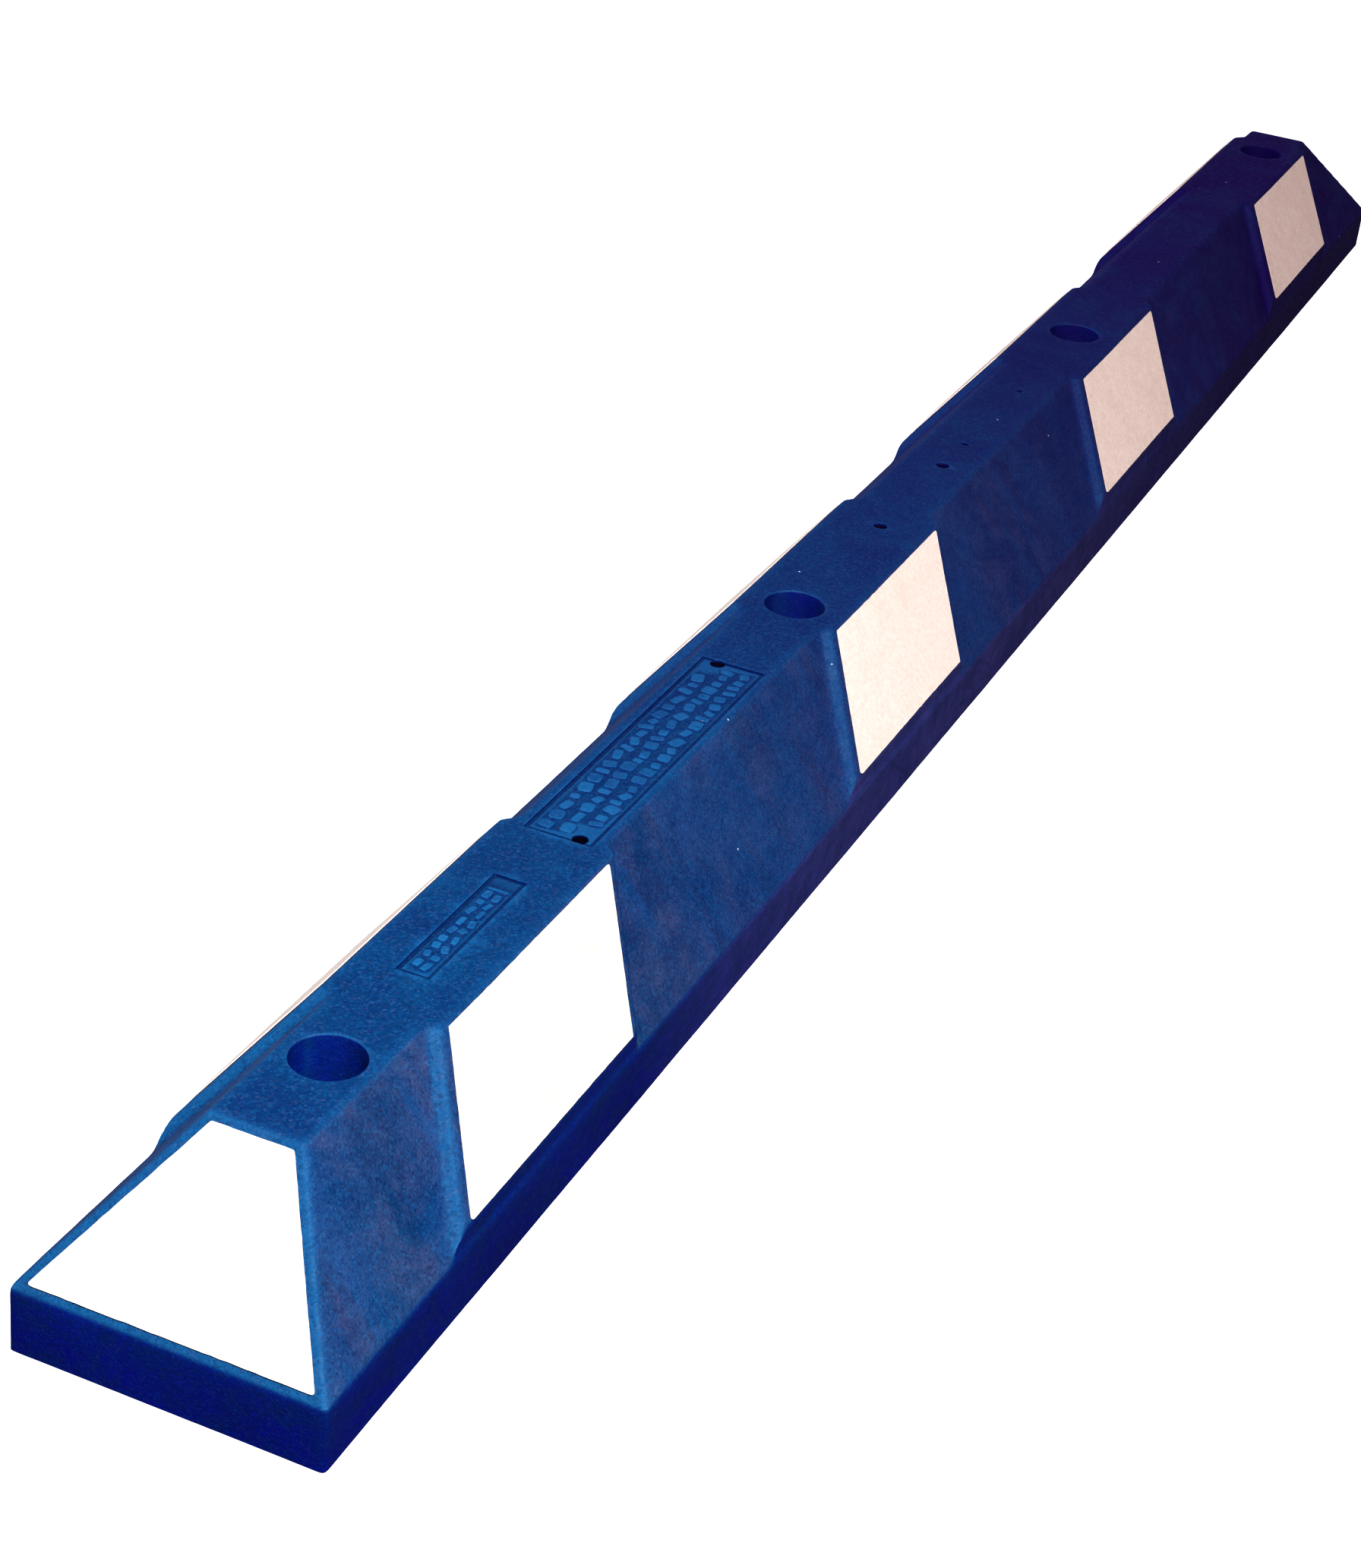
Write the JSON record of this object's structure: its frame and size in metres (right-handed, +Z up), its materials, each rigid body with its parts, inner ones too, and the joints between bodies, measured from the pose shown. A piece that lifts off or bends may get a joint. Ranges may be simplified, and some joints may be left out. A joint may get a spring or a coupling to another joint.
{
  "type": "rubber wheel stop",
  "caption": "Long moulded rubber parking wheel stop with sloped sides and ends, counterbored anchor holes along its flat top, and white reflective sheets on raised pads.",
  "frame": {"origin": "middle of the base, on the ground plane", "axes": "+X along the bar from the end with the moulded frames, front slope towards -Y, +Z up"},
  "size_m": [1.83, 0.15, 0.1],
  "materials": {
    "crumb_rubber": "moulded, fine granular, matt",
    "reflective_sheet": "beaded retroreflective film",
    "zinc_steel": "zinc plated"
  },
  "bodies": {
    "root": {"rubber_body": "crumb_rubber", "reflector_front_1": "reflective_sheet", "reflector_front_2": "reflective_sheet", "reflector_front_3": "reflective_sheet", "reflector_front_4": "reflective_sheet", "reflector_back_1": "reflective_sheet", "reflector_back_2": "reflective_sheet", "reflector_back_3": "reflective_sheet", "reflector_back_4": "reflective_sheet", "reflector_end_near": "reflective_sheet", "reflector_end_far": "reflective_sheet", "anchor_washer_1": "zinc_steel", "anchor_washer_2": "zinc_steel", "anchor_washer_3": "zinc_steel", "anchor_washer_4": "zinc_steel"}
  },
  "joints": []
}
